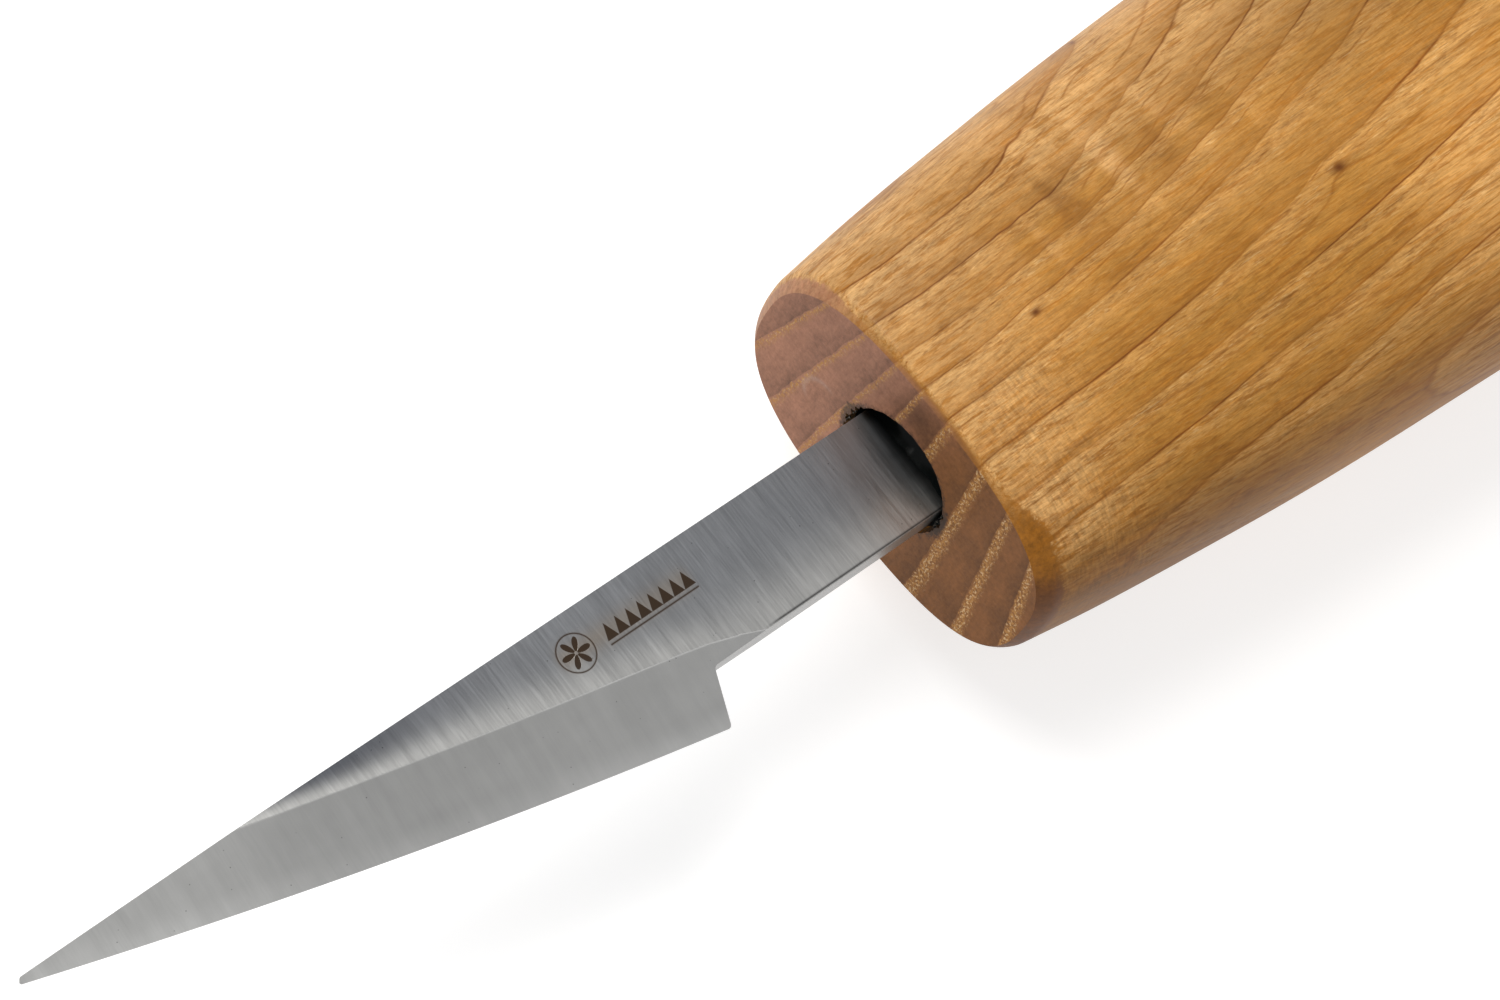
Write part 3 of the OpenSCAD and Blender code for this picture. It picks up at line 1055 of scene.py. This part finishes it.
def crumb_form(material):
    """A scatter of small glue crumbs round a corner of the neck."""
    g = FormTree("GlueCrumbs", {
        "Count": ("Int", 20),
        "Centre": ("Vector", (0.0, 0.0, 0.0)),
        "Spread": ("Vector", (0.0001, 0.0003, 0.0006)),
        "Size": ("Float", 0.0001),
        "Seed": ("Int", 1),
    })

    def scatter(low, high, shift):
        """A random vector for each crumb, with all its numbers between low and high."""
        values = {0: (low,) * 3, 1: (high,) * 3, "Seed": g.given("Seed") + shift}
        return g.node("FunctionNodeRandomValue", {"data_type": "FLOAT_VECTOR"}, values)

    offset = g.vector("MULTIPLY", scatter(-1.0, 1.0, 0), g.given("Spread"))
    place = g.vector("ADD", g.given("Centre"), offset)
    points = g.node("GeometryNodePoints", inputs={"Count": g.given("Count"), "Position": place})
    crumb = g.node(
        "GeometryNodeMeshIcoSphere", inputs={"Radius": g.given("Size"), "Subdivisions": 2}
    )
    size = g.vector("MULTIPLY", scatter(0.25, 1.0, 11), scatter(0.5, 1.0, 5))
    placed = g.node(
        "GeometryNodeInstanceOnPoints",
        inputs={"Points": points, "Instance": crumb, "Scale": size,
                "Rotation": scatter(0.0, 6.0, 7)},
    )
    real = g.node("GeometryNodeRealizeInstances", inputs={"Geometry": placed})
    lumpy = g.node("ShaderNodeTexNoise", inputs={"Scale": 9000.0, "Detail": 1.0}, output="Color")
    push = g.vector("SUBTRACT", lumpy, (0.5, 0.5, 0.5))
    push = g.scale(push, g.given("Size") * 0.9)
    dented = g.node("GeometryNodeSetPosition", inputs={"Geometry": real, "Offset": push})
    g.finish(dented, material)
    return g


class KNIFE_OT_glue(bpy.types.Operator):
    """Builds the glue in the bore and the crumbs at its mouth"""

    bl_idname = "knife.glue"
    bl_label = "Build Glue"

    def execute(self, context):
        glue = context.scene.knife_glue
        material = glue_material(glue)
        mesh = glue_plug(
            bore_radius=GLUE_BOX[1].y, half_height=NECK_HALF * MM, half_thickness=BLADE_BOX[1].z,
            recess=-GLUE_BOX[1].x, tang_end=-BLADE_BOX[0].x,
        )
        plug = add_object("glue_plug", mesh)
        finish_mesh(plug, sharp_degrees=40)
        place_piece(plug, material, "glue", "epoxy")

        form = crumb_form(material)
        for name, centre, spread, size, seed in CRUMB_HEAPS:
            values = {
                "Count": glue.crumbs, "Centre": Vector(centre) * MM,
                "Spread": Vector(spread) * MM, "Size": size * MM, "Seed": seed,
            }
            heap = form.run(name, values)
            finish_mesh(heap, sharp_degrees=60)
            place_piece(heap, material, "glue")
        return {"FINISHED"}


# ---------------------------------------------------------------- stage


WHITE = (1.0, 1.0, 1.0, 1.0)
FLOOR_GREY = (0.5, 0.5, 0.5, 1.0)
FLOOR_GAP = 0.05 * MM
KEY_PLACE = (0.10, -0.42, 0.66)
KEY_TINT = (1.0, 0.985, 0.96)
FILL_PLACE = (-0.30, 0.34, 0.66)

# The camera's place, and the directions to its right and to its back.
CAMERA_PLACE = Vector((110.1, 29.22, 190.65)) * MM
CAMERA_RIGHT = Vector((-0.7345, 0.6118, 0.2935)).normalized()
CAMERA_BACK = Vector((0.4695, 0.1460, 0.8708)).normalized()


def white_floor(scene, size):
    """A square floor just under the knife."""
    mesh = bpy.data.meshes.new("floor")
    half = size / 2
    z = CAD_BOX[0].z - FLOOR_GAP
    corners = [(-half, -half, z), (half, -half, z), (half, half, z), (-half, half, z)]
    mesh.from_pydata(corners, [], [(0, 1, 2, 3)])
    floor = bpy.data.objects.new("floor", mesh)
    scene.collection.objects.link(floor)
    material, g, shader = new_material("floor_white")
    feed(
        g, shader, Base_Color=FLOOR_GREY, Roughness=0.9, Specular_IOR_Level=0.0,
        Emission_Color=WHITE, Emission_Strength=0.70,
    )
    mesh.materials.append(material)


def soft_light(name, place, size, power, tint):
    """A square area light that faces the handle's front."""
    light = bpy.data.lights.new(name, "AREA")
    light.shape = "SQUARE"
    light.size = size
    light.energy = power
    light.color = tint
    lamp = add_object(name, light)
    lamp.location = place
    lamp.rotation_mode = "QUATERNION"
    lamp.rotation_quaternion = (-Vector(place)).to_track_quat("-Z", "Y")


def long_lens(scene):
    """The camera: a long lens that looks down at the blade from over its tip."""
    lens = bpy.data.cameras.new("camera")
    lens.sensor_width = 36
    lens.lens = 108
    lens.clip_start = 0.01
    lens.clip_end = 20
    camera = bpy.data.objects.new("camera", lens)
    up = CAMERA_BACK.cross(CAMERA_RIGHT)
    turn = Matrix((CAMERA_RIGHT, up, CAMERA_BACK)).transposed().to_4x4()
    camera.matrix_world = Matrix.Translation(CAMERA_PLACE) @ turn
    scene.collection.objects.link(camera)
    scene.camera = camera


class KNIFE_OT_stage(bpy.types.Operator):
    """Builds the floor, the lights and the camera"""

    bl_idname = "knife.stage"
    bl_label = "Build Stage"

    def execute(self, context):
        stage = context.scene.knife_stage
        scene = context.scene
        white_floor(scene, stage.floor_size)

        world = bpy.data.worlds.new("studio")
        world.use_nodes = True
        background = world.node_tree.nodes["Background"]
        background.inputs["Color"].default_value = WHITE
        background.inputs["Strength"].default_value = stage.sky
        scene.world = world

        soft_light("key", KEY_PLACE, size=0.5, power=stage.key, tint=KEY_TINT)
        soft_light("fill", FILL_PLACE, size=0.35, power=stage.fill, tint=WHITE[:3])
        long_lens(scene)
        scene.view_settings.view_transform = "Standard"
        return {"FINISHED"}


class KNIFE_PT_sidebar(bpy.types.Panel):
    """Buttons and settings for the knife"""

    bl_idname = "KNIFE_PT_sidebar"
    bl_label = "Chip Carving Knife"
    bl_space_type = "VIEW_3D"
    bl_region_type = "UI"
    bl_category = "Knife"

    def draw(self, context):
        layout = self.layout
        groups = [
            ("knife.handle", context.scene.knife_wood),
            ("knife.blade", context.scene.knife_steel),
            ("knife.glue", context.scene.knife_glue),
            ("knife.stage", context.scene.knife_stage),
        ]
        for operator, settings in groups:
            box = layout.box()
            for name in settings.__annotations__:
                box.prop(settings, name)
            box.operator(operator)


SETTINGS = {
    "knife_wood": WoodSettings,
    "knife_steel": SteelSettings,
    "knife_glue": GlueSettings,
    "knife_stage": StageSettings,
}
CLASSES = [
    *SETTINGS.values(),
    KNIFE_OT_handle,
    KNIFE_OT_blade,
    KNIFE_OT_glue,
    KNIFE_OT_stage,
    KNIFE_PT_sidebar,
]


def register():
    """Adds the classes and their settings to Blender."""
    for cls in CLASSES:
        bpy.utils.register_class(cls)
    for name, group in SETTINGS.items():
        setattr(bpy.types.Scene, name, bpy.props.PointerProperty(type=group))


def unregister():
    """Takes the classes and their settings out of Blender again."""
    for name in SETTINGS:
        delattr(bpy.types.Scene, name)
    for cls in reversed(CLASSES):
        bpy.utils.unregister_class(cls)


def main():
    """Builds the stage and the whole knife."""
    register()
    bpy.ops.knife.stage()
    bpy.ops.knife.handle()
    bpy.ops.knife.blade()
    bpy.ops.knife.glue()


if __name__ == "__main__":
    main()
